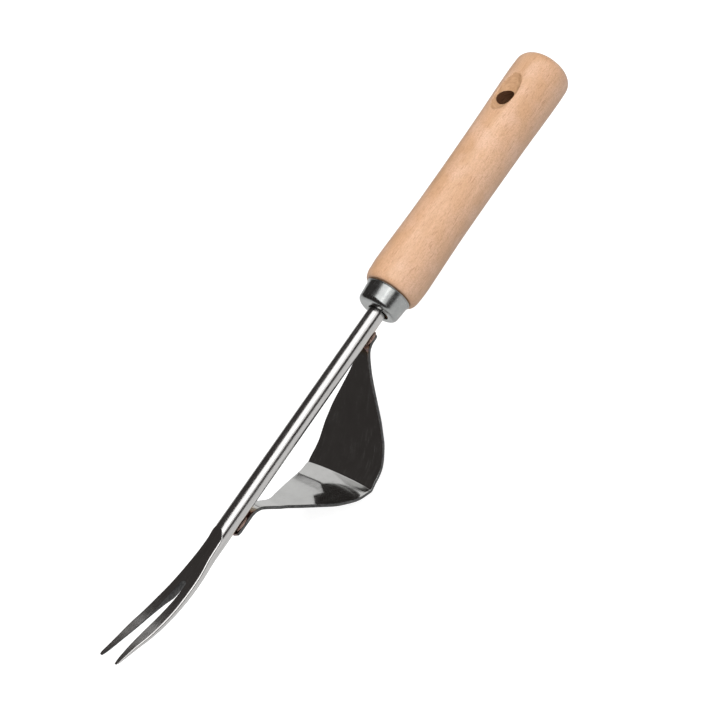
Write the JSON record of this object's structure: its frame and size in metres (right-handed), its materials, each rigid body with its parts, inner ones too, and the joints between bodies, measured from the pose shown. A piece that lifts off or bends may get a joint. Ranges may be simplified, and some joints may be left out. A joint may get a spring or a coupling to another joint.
{
  "type": "hand weeder",
  "caption": "Hand weeder: round wooden grip, steel ferrule, steel shaft ending in a forked tip, and a bent sheet steel strip under the shaft to lever on.",
  "frame": {"origin": "middle of the footprint at the lowest point, which is the strip's sharp bend", "axes": "+X along the shaft and handle, from the fork to the handle's end; +Y across the tool; +Z out of the fork's open face, with the bent strip below the shaft"},
  "size_m": [0.33, 0.0402, 0.0583],
  "materials": {
    "handle_wood": "turned beech, sanded and sealed, satin",
    "ferrule_steel": "drawn steel, plated, satin",
    "shaft_steel": "ground and polished steel",
    "strip_steel": "smooth rolled steel with fine scratches",
    "adhesive": "set adhesive",
    "weld_metal": "heat-tinted weld metal"
  },
  "bodies": {
    "root": {"handle": "handle_wood", "ferrule": "ferrule_steel", "shaft_fork": "shaft_steel", "fulcrum_strip": "strip_steel", "tang_adhesive": "adhesive", "upper_weld_left": "weld_metal", "upper_weld_right": "weld_metal", "lower_weld_left": "weld_metal", "lower_weld_right": "weld_metal"}
  },
  "joints": []
}
